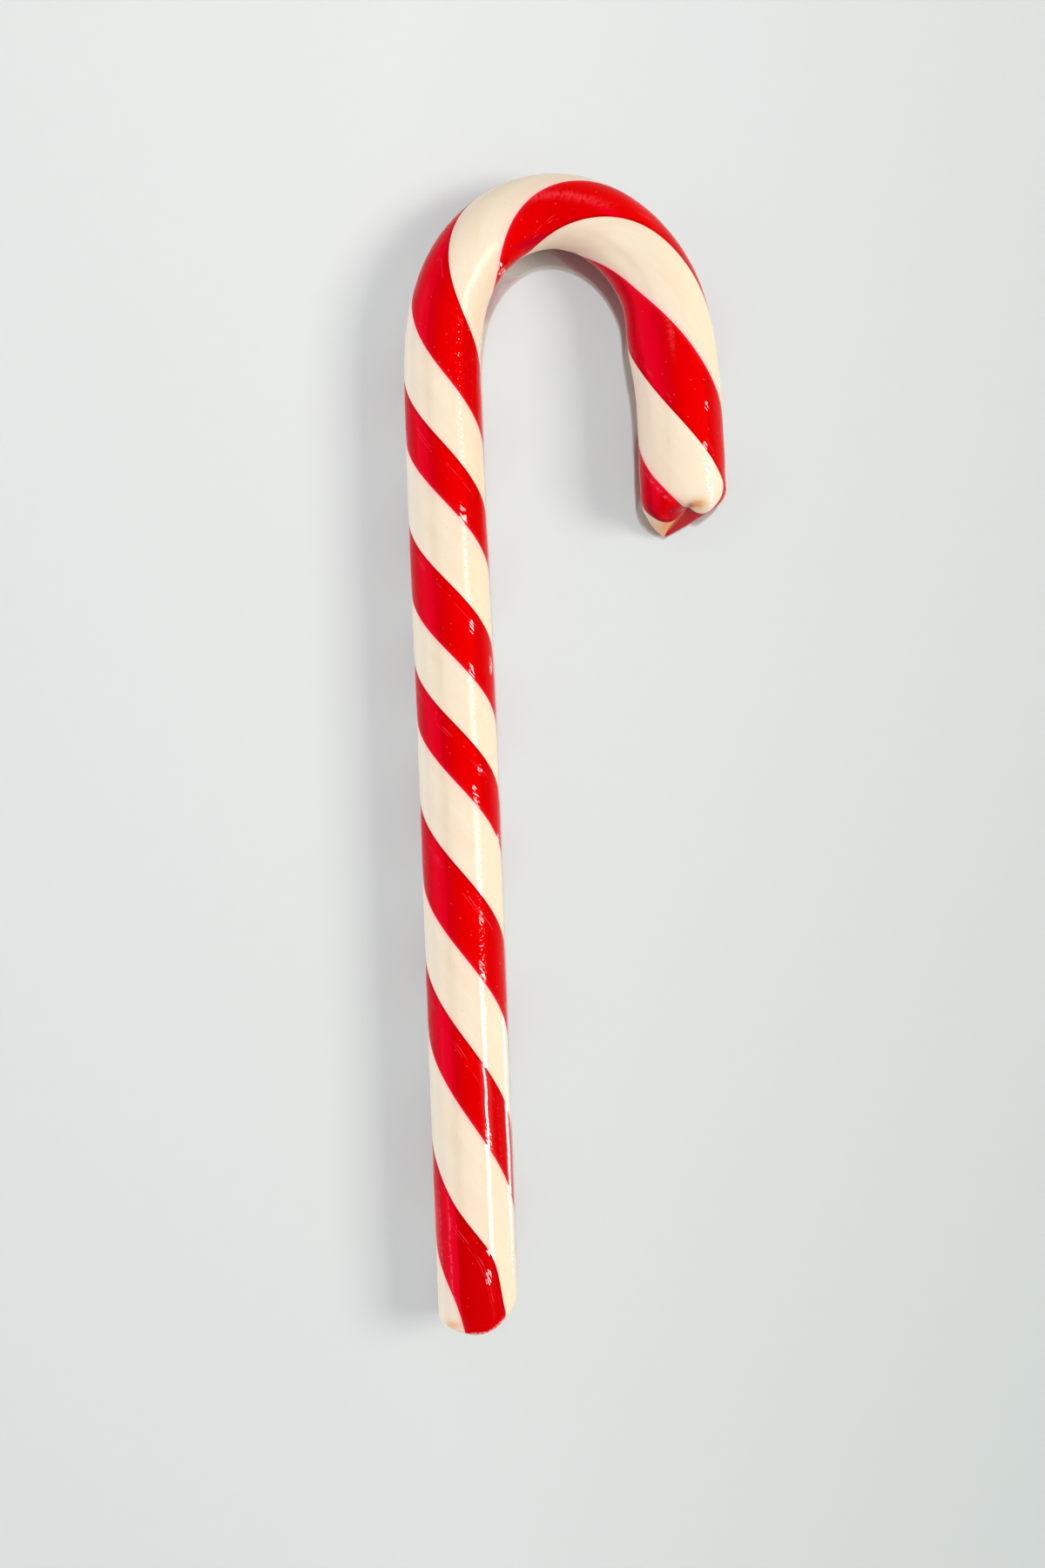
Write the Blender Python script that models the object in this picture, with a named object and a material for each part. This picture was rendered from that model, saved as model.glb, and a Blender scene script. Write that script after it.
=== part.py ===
"""Candy cane: four strands of boiled sugar, two red and two cream, twisted into one rod and bent.

The cane lies on its side.  The stem runs along +Y, the crook turns towards +X at the +Y end and
+Z is up.  Distances along the rod are measured from the tip of the stem.  Angles round the rod are
measured from the top line towards the right-hand side of the way that the rod runs.
"""
import math

import bmesh
import bpy
import numpy as np

MM = 0.001

# --- the rod: (distance along the rod in mm, value) -----------------------------------------------
ROD_LENGTH = 238.5          # tip of the stem to the middle of the cut end, along the bent rod
HEADING = (                 # the way the rod runs, degrees from +Y towards +X
    (0, 0.0), (40, 0.0), (80, 0.0), (120, -0.5), (140, 0.0), (150, 2.5), (160, 17.5),
    (170, 44.5), (180, 80.5), (190, 119.0), (200, 147.5), (210, 169.5), (220, 178.0), (250, 175.5),
)
RADIUS = (                  # the rod thins where it was bent and is thickest at the cut end
    (0, 6.12), (35, 6.16), (60, 6.16), (90, 6.13), (115, 6.07), (135, 5.98), (150, 5.92),
    (162, 5.82), (172, 5.70), (180, 5.65), (190, 5.77), (200, 6.03), (210, 6.31), (220, 6.53),
    (250, 6.56),
)
TWIST = (                   # how far the strands have turned, degrees
    (0, -79), (6, -62), (14, -14), (25, 52), (50, 206), (75, 385), (100, 588), (125, 799),
    (150, 998), (165, 1101), (180, 1196), (195, 1274), (210, 1336), (225, 1428), (250, 1618),
)
SWELLING = (213.0, 88.0, 0.75, 6.0, 40.0)   # left inside the bend: along, round, height, mm, degrees

# --- the strands, in order round the rod: (degrees of the rod, columns of faces, crown in mm) ---------
STRANDS = (
    (103, 10, 0.03),        # cream
    (75, 8, 0.10),          # red
    (87, 9, 0.03),          # cream
    (95, 9, 0.10),          # red
)
SEAM_WANDER = (             # where the seam before each strand strays, degrees
    ((4, -24), (14.5, 5), (22, 0)),
    ((0, 0),),
    ((165, 0), (186, 3), (198, -5), (215, 0)),
    ((195, 0), (204, 3), (214, -2), (226, 0), (234, 1), (242, 7)),
)
GROOVE_DEPTH = 0.12         # the groove between two strands
GROOVE_WIDTH = 7.0          # degrees each side of the seam

# --- the flat spot left by cooling on a table ----------------------------------------------------
FLAT_DEPTH = 0.30           # how far the round section is pressed flat

# --- the ends: (degrees round the rod, mm) ---------------------------------------------------------
CUT_REACH = (               # how far the sheared end stands beyond the rod's length
    (0, 0.0), (45, 0.7), (90, 1.5), (127, 2.2), (153, 3.4), (175, 4.4), (184, 4.6), (191, 4.1),
    (203, 3.0), (212, 2.1), (223, 1.3), (234, 0.8), (243, 0.4), (270, -0.3), (315, -0.4),
)
CUT_ROUND = (               # how far back from its edge the sheared end starts to round over
    (0, 4.2), (45, 3.6), (90, 2.6), (127, 1.6), (160, 1.0), (200, 0.8), (225, 0.9), (245, 1.4),
    (270, 2.8), (315, 3.8),
)
CUT_SWELL = (               # how far the sheared end swells out between its edge and the pinch
    (0, 0.5), (45, 1.0), (88, 1.7), (112, 0.8), (150, 0.3), (180, 0.0), (220, 0.0), (250, 0.6),
    (270, 1.3), (315, 1.2),
)
CUT_PINCH = (-0.6, -0.6, -0.1)   # where the strands are pinched together: right, up, along
TIP_REACH = (               # how far the tip of the stem stands beyond the start of the rod
    (0, -0.5), (20, -0.8), (45, -1.8), (90, -2.3), (135, -2.0), (180, -1.4), (225, -1.4),
    (270, -1.5), (315, -1.2), (340, -0.7),
)
TIP_ROUND = (
    (0, 0.9), (20, 1.2), (45, 2.8), (90, 3.8), (135, 3.0), (180, 2.0), (225, 1.6), (270, 1.6),
    (315, 1.2), (340, 0.9),
)
TIP_SWELL = (
    (0, 0.2), (90, 0.3), (180, 0.3), (270, 0.3),
)
TIP_PINCH = (-0.8, -1.0, -1.6)
CREASE_DEPTH = 0.35         # the creases between the strands near a pinch

# --- fineness ---------------------------------------------------------------------------------------
RINGS_ALONG = 98
RINGS_END = 9
FACE_GRADING = 1.5          # rings lie closer together at the edge of an end than near its pinch


class Spline:
    """A smooth line through stations; closed ones repeat every 360."""

    def __init__(self, stations, closed=False):
        place = np.array([s[0] for s in stations], float)
        value = np.array([s[1] for s in stations], float)
        if closed:
            place = np.concatenate([place - 360.0, place, place + 360.0])
            value = np.tile(value, 3)
        gap = np.diff(place)
        slope = np.diff(value) / gap
        count = len(place)
        system = np.eye(count)
        right = np.zeros(count)
        for k in range(1, count - 1):
            system[k, k - 1:k + 2] = gap[k - 1], 2.0 * (gap[k - 1] + gap[k]), gap[k]
            right[k] = 6.0 * (slope[k] - slope[k - 1])
        self.place = place
        self.value = value
        self.bend = np.linalg.solve(system, right)

    def __call__(self, at):
        k = int(np.clip(np.searchsorted(self.place, at) - 1, 0, len(self.place) - 2))
        gap = self.place[k + 1] - self.place[k]
        after = (at - self.place[k]) / gap
        before = 1.0 - after
        swing = (before ** 3 - before) * self.bend[k] + (after ** 3 - after) * self.bend[k + 1]
        return float(before * self.value[k] + after * self.value[k + 1] + swing * gap * gap / 6.0)


def eased(stations, at):
    """A value that runs level at every station and eases from one to the next."""
    place = [s[0] for s in stations]
    value = [s[1] for s in stations]
    k = int(np.clip(np.searchsorted(place, at) - 1, 0, max(len(place) - 2, 0)))
    following = min(k + 1, len(place) - 1)
    share = float(np.clip((at - place[k]) / max(place[following] - place[k], 1.0), 0.0, 1.0))
    return value[k] + (value[following] - value[k]) * share * share * (3.0 - 2.0 * share)


class Rod:
    """The bent rod: where its middle line runs, how thick it is and how its surface is shaped.

    A column is a line of the surface that follows one strand: (strand, share of its width).
    """

    STEP = 0.5

    def __init__(self):
        self.heading = Spline(HEADING)
        self.radius = Spline(RADIUS)
        self.twist = Spline(TWIST)
        self.seams = np.cumsum([0.0] + [strand[0] for strand in STRANDS])
        self.along = np.arange(-5.0, ROD_LENGTH + 9.0, self.STEP)
        turn = np.radians([self.heading(u) for u in self.along])
        ahead = np.stack([np.sin(turn), np.cos(turn)], axis=1)
        steps = (ahead[1:] + ahead[:-1]) * 0.5 * self.STEP
        self.line = np.concatenate([np.zeros((1, 2)), np.cumsum(steps, axis=0)])

    def frame(self, u):
        """Middle point, the way ahead and the right-hand way, all in mm."""
        middle = np.array([
            np.interp(u, self.along, self.line[:, 0]),
            np.interp(u, self.along, self.line[:, 1]),
            self.radius(u) - FLAT_DEPTH,
        ])
        turn = math.radians(self.heading(u))
        ahead = np.array([math.sin(turn), math.cos(turn), 0.0])
        right = np.array([math.cos(turn), -math.sin(turn), 0.0])
        return middle, ahead, right

    def angle(self, u, column):
        """Degrees round the rod at which a column passes, -180 to 180."""
        strand, share = column
        following = (strand + 1) % len(STRANDS)
        start = self.seams[strand] + eased(SEAM_WANDER[strand], u)
        end = self.seams[strand + 1] + eased(SEAM_WANDER[following], u)
        turned = start + share * (end - start) - self.twist(u)
        return (turned + 180.0) % 360.0 - 180.0

    def seam_nearness(self, column, reach):
        """1 on a seam, fading to 0 over a reach in degrees."""
        strand, share = column
        gap = min(share, 1.0 - share) * STRANDS[strand][0]
        return math.exp(-(gap / reach) ** 2)

    def height(self, u, column):
        """Distance of the surface from the middle line."""
        strand, share = column
        crown = STRANDS[strand][2] * math.sin(math.pi * share)
        groove = GROOVE_DEPTH * self.seam_nearness(column, GROOVE_WIDTH)
        along, round_, rise, length, width = SWELLING
        off = (self.angle(u, column) - round_) / width
        swelling = rise * math.exp(-((u - along) / length) ** 2 - off * off)
        return self.radius(u) + crown - groove + swelling

    def point(self, u, column):
        """A point of the surface."""
        middle, _, right = self.frame(u)
        reach = self.height(u, column)
        turn = math.radians(self.angle(u, column))
        place = middle + right * reach * math.sin(turn)
        place[2] += reach * math.cos(turn)
        return place


class End:
    """One end of the rod, where the strands round over and run together to a pinch."""

    def __init__(self, rod, start, outward, reach, rounding, swell, pinch):
        self.rod = rod
        self.start = start
        self.outward = outward
        self.reach = Spline(reach, closed=True)
        self.rounding = Spline(rounding, closed=True)
        self.swell = Spline(swell, closed=True)
        middle, ahead, right = rod.frame(start)
        self.ahead = ahead * outward
        self.pinch = middle + right * pinch[0] + np.array([0.0, 0.0, pinch[1]]) + self.ahead * pinch[2]

    def column(self, column):
        """How far along one column starts to round over, and its points from there to the pinch."""
        angle = self.rod.angle(self.start, column)
        edge = self.start + self.outward * self.reach(angle)
        shoulder = edge - self.outward * self.rounding(angle)
        first = self.rod.point(shoulder, column)
        corner = self.rod.point(edge, column)
        inner = corner + (self.pinch - corner) * 0.5 + self.ahead * self.swell(angle) * 8.0 / 3.0
        near_seam = self.rod.seam_nearness(column, 2.0 * GROOVE_WIDTH)
        points = []
        for step in range(1, RINGS_END + 1):
            t = (step / RINGS_END) ** FACE_GRADING
            s = 1.0 - t
            place = first * s ** 3 + corner * 3 * s * s * t + inner * 3 * s * t * t + self.pinch * t ** 3
            points.append(place - self.ahead * CREASE_DEPTH * near_seam * math.sin(math.pi * t) ** 2)
        return shoulder, points


def strand_columns():
    """Every column of the surface, seams included, once round the rod."""
    columns = []
    for strand, (_, count, _) in enumerate(STRANDS):
        columns += [(strand, k / count) for k in range(count)]
    return columns + [(0, 0.0)]


def surface_rows():
    """Rows of points, one row for each column of faces, from pinch to pinch."""
    rod = Rod()
    tip = End(rod, 0.0, -1.0, TIP_REACH, TIP_ROUND, TIP_SWELL, TIP_PINCH)
    cut = End(rod, ROD_LENGTH, 1.0, CUT_REACH, CUT_ROUND, CUT_SWELL, CUT_PINCH)
    rows = []
    for column in strand_columns():
        low, tip_points = tip.column(column)
        high, cut_points = cut.column(column)
        between = [rod.point(u, column) for u in np.linspace(low, high, RINGS_ALONG)]
        rows.append(tip_points[::-1] + between + cut_points)
    return rows


def candy_cane_mesh():
    """A sheet of faces wrapped round the rod, closed at the seam and both pinches."""
    rows = surface_rows()
    across = len(rows) - 1
    along = len(rows[0]) - 1
    mesh = bmesh.new()
    bmesh.ops.create_grid(mesh, x_segments=across, y_segments=along, size=1.0)
    for vert in mesh.verts:
        i = round((vert.co.x + 1.0) * 0.5 * across)
        j = round((vert.co.y + 1.0) * 0.5 * along)
        vert.co = rows[i][j] * MM
    bmesh.ops.remove_doubles(mesh, verts=mesh.verts, dist=0.002 * MM)
    bmesh.ops.recalc_face_normals(mesh, faces=mesh.faces)
    press_flat(mesh)
    centre_on_origin(mesh)
    return mesh


def press_flat(mesh):
    """Cut the underside off level and close it with a flat face."""
    geometry = mesh.verts[:] + mesh.edges[:] + mesh.faces[:]
    bmesh.ops.bisect_plane(
        mesh, geom=geometry, dist=0.001 * MM, plane_co=(0, 0, 0), plane_no=(0, 0, -1), clear_outer=True,
    )
    bmesh.ops.triangle_fill(
        mesh, edges=[edge for edge in mesh.edges if edge.is_boundary], use_beauty=True, normal=(0, 0, -1),
    )
    bmesh.ops.triangulate(mesh, faces=mesh.faces)
    bmesh.ops.recalc_face_normals(mesh, faces=mesh.faces)


def centre_on_origin(mesh):
    """Bring the middle of the outline over the origin, with the flat spot on the floor."""
    low = np.array([vert.co for vert in mesh.verts]).min(axis=0)
    high = np.array([vert.co for vert in mesh.verts]).max(axis=0)
    middle = (low + high) * 0.5
    bmesh.ops.translate(mesh, verts=mesh.verts, vec=(-middle[0], -middle[1], -low[2]))


def boiled_sugar():
    """Glossy boiled sugar."""
    material = bpy.data.materials.new("boiled_sugar")
    material.use_nodes = True
    shader = material.node_tree.nodes["Principled BSDF"]
    shader.inputs["Base Color"].default_value = (0.72, 0.12, 0.09, 1.0)
    shader.inputs["Roughness"].default_value = 0.18
    shader.inputs["Subsurface Weight"].default_value = 0.2
    shader.inputs["Subsurface Scale"].default_value = 2.0 * MM
    return material


def build():
    """Make the candy cane in its own collection."""
    for old in list(bpy.data.objects):
        bpy.data.objects.remove(old, do_unlink=True)
    collection = bpy.data.collections.new("candy_cane")
    bpy.context.scene.collection.children.link(collection)
    data = bpy.data.meshes.new("candy_cane")
    mesh = candy_cane_mesh()
    mesh.to_mesh(data)
    mesh.free()
    for face in data.polygons:
        face.use_smooth = True
    data.materials.append(boiled_sugar())
    collection.objects.link(bpy.data.objects.new("candy_cane", data))


build()
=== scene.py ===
"""A candy cane of boiled sugar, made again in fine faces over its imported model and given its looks.

Four strands, two red and two cream, are twisted into one rod and bent.  The cane lies on its side
on a pale floor: the stem runs along +Y, the crook turns towards +X and +Z is up.  Distances along
the rod are measured in mm from the tip of the stem.  Angles round the rod are measured in degrees
from its top line towards the right-hand side of the way that the rod runs.
"""
import logging
import math
from dataclasses import dataclass, field
from enum import Enum

import bmesh
import bpy
import numpy as np
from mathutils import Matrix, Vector


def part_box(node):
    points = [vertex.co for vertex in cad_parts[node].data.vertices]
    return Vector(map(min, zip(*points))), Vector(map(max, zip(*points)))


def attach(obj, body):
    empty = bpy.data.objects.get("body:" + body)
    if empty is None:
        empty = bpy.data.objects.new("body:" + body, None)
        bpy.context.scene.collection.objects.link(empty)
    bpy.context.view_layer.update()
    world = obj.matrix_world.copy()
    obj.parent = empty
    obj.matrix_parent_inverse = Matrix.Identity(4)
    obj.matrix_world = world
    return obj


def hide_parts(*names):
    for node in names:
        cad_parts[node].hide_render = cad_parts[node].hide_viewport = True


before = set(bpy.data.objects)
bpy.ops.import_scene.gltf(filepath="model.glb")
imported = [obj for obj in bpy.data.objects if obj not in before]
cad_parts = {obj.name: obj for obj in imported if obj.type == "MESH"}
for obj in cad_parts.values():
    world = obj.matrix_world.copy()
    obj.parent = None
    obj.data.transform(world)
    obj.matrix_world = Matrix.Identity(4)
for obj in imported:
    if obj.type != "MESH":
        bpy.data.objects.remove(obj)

MM = 0.001
Stations = tuple[tuple[float, float], ...]
Colour = tuple[float, float, float, float]
log = logging.getLogger("candy_cane")


def tint(red: int, green: int, blue: int) -> Colour:
    """Turn a colour in screen values into the shader's own values.

    Args:
        red: Red, 0 to 255.
        green: Green, 0 to 255.
        blue: Blue, 0 to 255.

    Returns:
        The colour as light, with an alpha of 1.
    """
    shares = [value / 255.0 for value in (red, green, blue)]
    light = [s / 12.92 if s <= 0.04045 else ((s + 0.055) / 1.055) ** 2.4 for s in shares]
    return (light[0], light[1], light[2], 1.0)


# --- the shape of the rod -------------------------------------------------------------------------


class Sugar(Enum):
    """The two colours of sugar, by their place among the cane's materials."""

    RED = 0
    CREAM = 1


class Spline:
    """A smooth line through stations; a closed one repeats every 360."""

    def __init__(self, stations: Stations, closed: bool = False) -> None:
        """Work out how the line bends at each station.

        Args:
            stations: Pairs of place and value.
            closed: Whether the line repeats every 360.
        """
        place = np.array([s[0] for s in stations], float)
        value = np.array([s[1] for s in stations], float)
        if closed:
            place = np.concatenate([place - 360.0, place, place + 360.0])
            value = np.tile(value, 3)
        gap = np.diff(place)
        slope = np.diff(value) / gap
        count = len(place)
        system = np.eye(count)
        right = np.zeros(count)
        for k in range(1, count - 1):
            system[k, k - 1:k + 2] = gap[k - 1], 2.0 * (gap[k - 1] + gap[k]), gap[k]
            right[k] = 6.0 * (slope[k] - slope[k - 1])
        self.place = place
        self.value = value
        self.bend = np.linalg.solve(system, right)

    def at(self, where: np.ndarray) -> np.ndarray:
        """Read the line at some places.

        Args:
            where: The places.

        Returns:
            The value at each place.
        """
        k = np.clip(np.searchsorted(self.place, where) - 1, 0, len(self.place) - 2)
        gap = self.place[k + 1] - self.place[k]
        after = (where - self.place[k]) / gap
        before = 1.0 - after
        swing = (before ** 3 - before) * self.bend[k] + (after ** 3 - after) * self.bend[k + 1]
        return before * self.value[k] + after * self.value[k + 1] + swing * gap * gap / 6.0


def eased(stations: Stations, where: np.ndarray) -> np.ndarray:
    """Read a value that runs level at every station and eases from one to the next.

    Args:
        stations: Pairs of place and value.
        where: The places to read it at.

    Returns:
        The value at each place.
    """
    place = np.array([s[0] for s in stations], float)
    value = np.array([s[1] for s in stations], float)
    k = np.clip(np.searchsorted(place, where) - 1, 0, max(len(place) - 2, 0))
    following = np.minimum(k + 1, len(place) - 1)
    share = np.clip((where - place[k]) / np.maximum(place[following] - place[k], 1.0), 0.0, 1.0)
    return value[k] + (value[following] - value[k]) * share * share * (3.0 - 2.0 * share)


@dataclass(frozen=True)
class Strand:
    """One strand of the rod: its sugar, its share of the round, and the seam before it."""

    sugar: Sugar
    degrees: float
    columns: int
    crown: float
    wander: Stations


@dataclass(frozen=True)
class Column:
    """A line of the surface that follows one strand, at a share of the strand's width."""

    strand: int
    share: float


@dataclass(frozen=True)
class Swelling:
    """A place where the bend has squeezed the sugar out: mm along, degrees round, mm high."""

    along: float = 213.0
    round: float = 88.0
    height: float = 0.75
    length: float = 6.0
    width: float = 40.0


@dataclass(frozen=True)
class Waver:
    """The slight unevenness of hand-rolled sugar, as a sum of long shallow waves."""

    seed: int = 7
    waves: int = 26
    depth: float = 0.016
    most_round: int = 5
    shortest: float = 3.5
    longest: float = 16.0

    def at(self, along: np.ndarray, degrees: np.ndarray) -> np.ndarray:
        """Say how far the surface sinks.

        Args:
            along: Distances along the rod, in mm.
            degrees: Degrees round the rod, counted with the strands.

        Returns:
            The sink at each place, in mm.
        """
        random = np.random.default_rng(self.seed)
        total = np.zeros_like(along)
        for _ in range(self.waves):
            times = random.integers(0, self.most_round + 1)
            length = random.uniform(self.shortest, self.longest)
            phase = random.uniform(0.0, math.tau)
            total += np.sin(np.radians(degrees) * times + along * math.tau / length + phase)
        return self.depth * (1.0 + total / math.sqrt(self.waves))


@dataclass
class Rod:
    """The bent rod: where its middle line runs, how thick it is and how its surface is shaped."""

    length: float = 238.5
    heading: Stations = (
        (0, 0.0), (40, 0.0), (80, 0.0), (120, -0.5), (140, 0.0), (150, 2.5), (160, 17.5),
        (170, 44.5), (180, 80.5), (190, 119.0), (200, 147.5), (210, 169.5), (220, 178.0),
        (250, 175.5),
    )
    radius: Stations = (
        (0, 6.12), (35, 6.16), (60, 6.16), (90, 6.13), (115, 6.07), (135, 5.98), (150, 5.92),
        (162, 5.82), (172, 5.70), (180, 5.65), (190, 5.77), (200, 6.03), (210, 6.31), (220, 6.53),
        (250, 6.56),
    )
    twist: Stations = (
        (0, -79), (6, -62), (14, -14), (25, 52), (50, 206), (75, 385), (100, 588), (125, 799),
        (150, 998), (165, 1101), (180, 1196), (195, 1274), (210, 1336), (225, 1428), (250, 1618),
    )
    strands: tuple[Strand, ...] = (
        Strand(Sugar.CREAM, 103, 36, 0.03, ((4, -24), (14.5, 5), (22, 0))),
        Strand(Sugar.RED, 75, 26, 0.04, ((0, 0),)),
        Strand(Sugar.CREAM, 87, 31, 0.03, ((165, 0), (186, 3), (198, -5), (215, 0))),
        Strand(Sugar.RED, 95, 33, 0.04,
               ((195, 0), (204, 3), (214, -2), (226, 0), (234, 1), (242, 7))),
    )
    groove_depth: float = 0.02
    groove_width: float = 5.0
    swelling: Swelling = Swelling()
    waver: Waver = Waver()
    flat_depth: float = 0.30
    before: float = 5.0
    beyond: float = 9.0
    step: float = 0.5

    def __post_init__(self) -> None:
        """Lay the middle line along the heading."""
        self._heading = Spline(self.heading)
        self._radius = Spline(self.radius)
        self._twist = Spline(self.twist)
        self._seams = np.cumsum([0.0] + [strand.degrees for strand in self.strands])
        self._along = np.arange(-self.before, self.length + self.beyond, self.step)
        turn = np.radians(self._heading.at(self._along))
        ahead = np.stack([np.sin(turn), np.cos(turn)], axis=1)
        steps = (ahead[1:] + ahead[:-1]) * 0.5 * self.step
        self._line = np.concatenate([np.zeros((1, 2)), np.cumsum(steps, axis=0)])

    def ways(self, along: np.ndarray) -> tuple[np.ndarray, np.ndarray, np.ndarray]:
        """Find the middle line and the ways ahead and to the right.

        Args:
            along: Distances along the rod, in mm.

        Returns:
            The middle points, the ways ahead and the right-hand ways, one row each.
        """
        middle = np.stack([
            np.interp(along, self._along, self._line[:, 0]),
            np.interp(along, self._along, self._line[:, 1]),
            self._radius.at(along) - self.flat_depth,
        ], axis=1)
        turn = np.radians(self._heading.at(along))
        level = np.zeros_like(turn)
        ahead = np.stack([np.sin(turn), np.cos(turn), level], axis=1)
        right = np.stack([np.cos(turn), -np.sin(turn), level], axis=1)
        return middle, ahead, right

    def angle(self, along: np.ndarray, column: Column) -> np.ndarray:
        """Find where round the rod a column passes.

        Args:
            along: Distances along the rod, in mm.
            column: The column.

        Returns:
            Degrees from the top line, -180 to 180.
        """
        following = (column.strand + 1) % len(self.strands)
        start = self._seams[column.strand] + eased(self.strands[column.strand].wander, along)
        end = self._seams[column.strand + 1] + eased(self.strands[following].wander, along)
        turned = start + column.share * (end - start) - self._twist.at(along)
        return (turned + 180.0) % 360.0 - 180.0

    def drawn_degrees(self, column: Column) -> float:
        """Degrees round the rod, counted with the strands."""
        strand = self.strands[column.strand]
        return float(self._seams[column.strand] + column.share * strand.degrees)

    def seam_nearness(self, column: Column, reach: float) -> float:
        """1 on a seam, fading to 0 over a reach in degrees."""
        gap = min(column.share, 1.0 - column.share) * self.strands[column.strand].degrees
        return math.exp(-(gap / reach) ** 2)

    def height(self, along: np.ndarray, column: Column) -> np.ndarray:
        """Find how far the surface stands from the middle line.

        Args:
            along: Distances along the rod, in mm.
            column: The column.

        Returns:
            The distance at each place, in mm.
        """
        crown = self.strands[column.strand].crown * math.sin(math.pi * column.share)
        groove = self.groove_depth * self.seam_nearness(column, self.groove_width)
        far = (along - self.swelling.along) / self.swelling.length
        off = (self.angle(along, column) - self.swelling.round) / self.swelling.width
        swollen = self.swelling.height * np.exp(-far ** 2 - off ** 2)
        uneven = self.waver.at(along, np.full_like(along, self.drawn_degrees(column)))
        return self._radius.at(along) + crown - groove + swollen - uneven

    def points(self, along: np.ndarray, column: Column) -> np.ndarray:
        """Find points of the surface on one column.

        Args:
            along: Distances along the rod, in mm.
            column: The column.

        Returns:
            One point a row, in mm.
        """
        middle, _, right = self.ways(along)
        reach = self.height(along, column)
        turn = np.radians(self.angle(along, column))
        place = middle + right * (reach * np.sin(turn))[:, None]
        place[:, 2] += reach * np.cos(turn)
        return place


@dataclass
class RodEnd:
    """One end of the rod, where the strands round over and run together to a pinch."""

    rod: Rod
    start: float
    outward: float
    reach: Stations
    rounding: Stations
    swell: Stations
    pinch: tuple[float, float, float]
    crease_depth: float = 0.35
    crease_width: float = 2.0
    pull_in: float = 0.5
    swell_share: float = 8.0 / 3.0
    grading: float = 1.5

    def __post_init__(self) -> None:
        """Read the stations and place the pinch."""
        self._reach = Spline(self.reach, closed=True)
        self._rounding = Spline(self.rounding, closed=True)
        self._swell = Spline(self.swell, closed=True)
        middle, ahead, right = (way[0] for way in self.rod.ways(np.array([self.start])))
        self.middle = middle
        self.right = right
        self.ahead = ahead * self.outward
        self.pinched = self.place(self.pinch)

    def place(self, offset: tuple[float, float, float]) -> np.ndarray:
        """Place a point by its way right, up and outward from the middle of the end, in mm."""
        aside, up, outward = offset
        return self.middle + self.right * aside + np.array([0.0, 0.0, up]) + self.ahead * outward

    def round_over(self, column: Column, rings: int) -> tuple[float, np.ndarray]:
        """Carry one column from the rod's side over to the pinch.

        Args:
            column: The column.
            rings: How many points it takes.

        Returns:
            How far along the rod the column starts to round over, and its points.
        """
        turned = self.rod.angle(np.array([self.start]), column)
        edge = self.start + self.outward * self._reach.at(turned)
        shoulder = edge - self.outward * self._rounding.at(turned)
        first = self.rod.points(shoulder, column)[0]
        corner = self.rod.points(edge, column)[0]
        swollen = self.ahead * self._swell.at(turned)[0] * self.swell_share
        inner = corner + (self.pinched - corner) * self.pull_in + swollen
        t = ((np.arange(rings) + 1.0) / rings)[:, None] ** self.grading
        s = 1.0 - t
        curve = first * s ** 3 + corner * 3 * s * s * t + inner * 3 * s * t * t
        curve = curve + self.pinched * t ** 3
        crease_reach = self.crease_width * self.rod.groove_width
        crease = self.crease_depth * self.rod.seam_nearness(column, crease_reach)
        return float(shoulder[0]), curve - self.ahead * crease * np.sin(math.pi * t) ** 2


# --- marks on the surface -------------------------------------------------------------------------


@dataclass(frozen=True)
class Stain:
    """A browned spot near an end: its middle and reach, right, up and outward, in mm."""

    middle: tuple[float, float, float]
    reach: tuple[float, float, float]
    strength: float

    def at(self, end: RodEnd, points: np.ndarray) -> np.ndarray:
        """Say how brown the spot makes some points.

        Args:
            end: The end that the spot is on.
            points: Points in mm.

        Returns:
            The brownness of each point, 0 to 1.
        """
        off = points - end.place(self.middle)
        ways = (end.right, np.array([0.0, 0.0, 1.0]), end.ahead)
        far = sum(((off @ way) / reach) ** 2 for way, reach in zip(ways, self.reach))
        return self.strength * np.exp(-far)


@dataclass
class Skin:
    """The whole surface as rows of points, and what is known about each point."""

    points: np.ndarray
    along: np.ndarray
    degrees: np.ndarray
    marks: dict[str, np.ndarray] = field(default_factory=dict)

    def steps(self) -> np.ndarray:
        """Add up the widths of the columns, ring by ring, in mm."""
        widths = np.linalg.norm(np.diff(self.points, axis=0), axis=2)
        return np.concatenate([np.zeros((1, widths.shape[1])), np.cumsum(widths, axis=0)])


# --- shader nodes ---------------------------------------------------------------------------------


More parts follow.
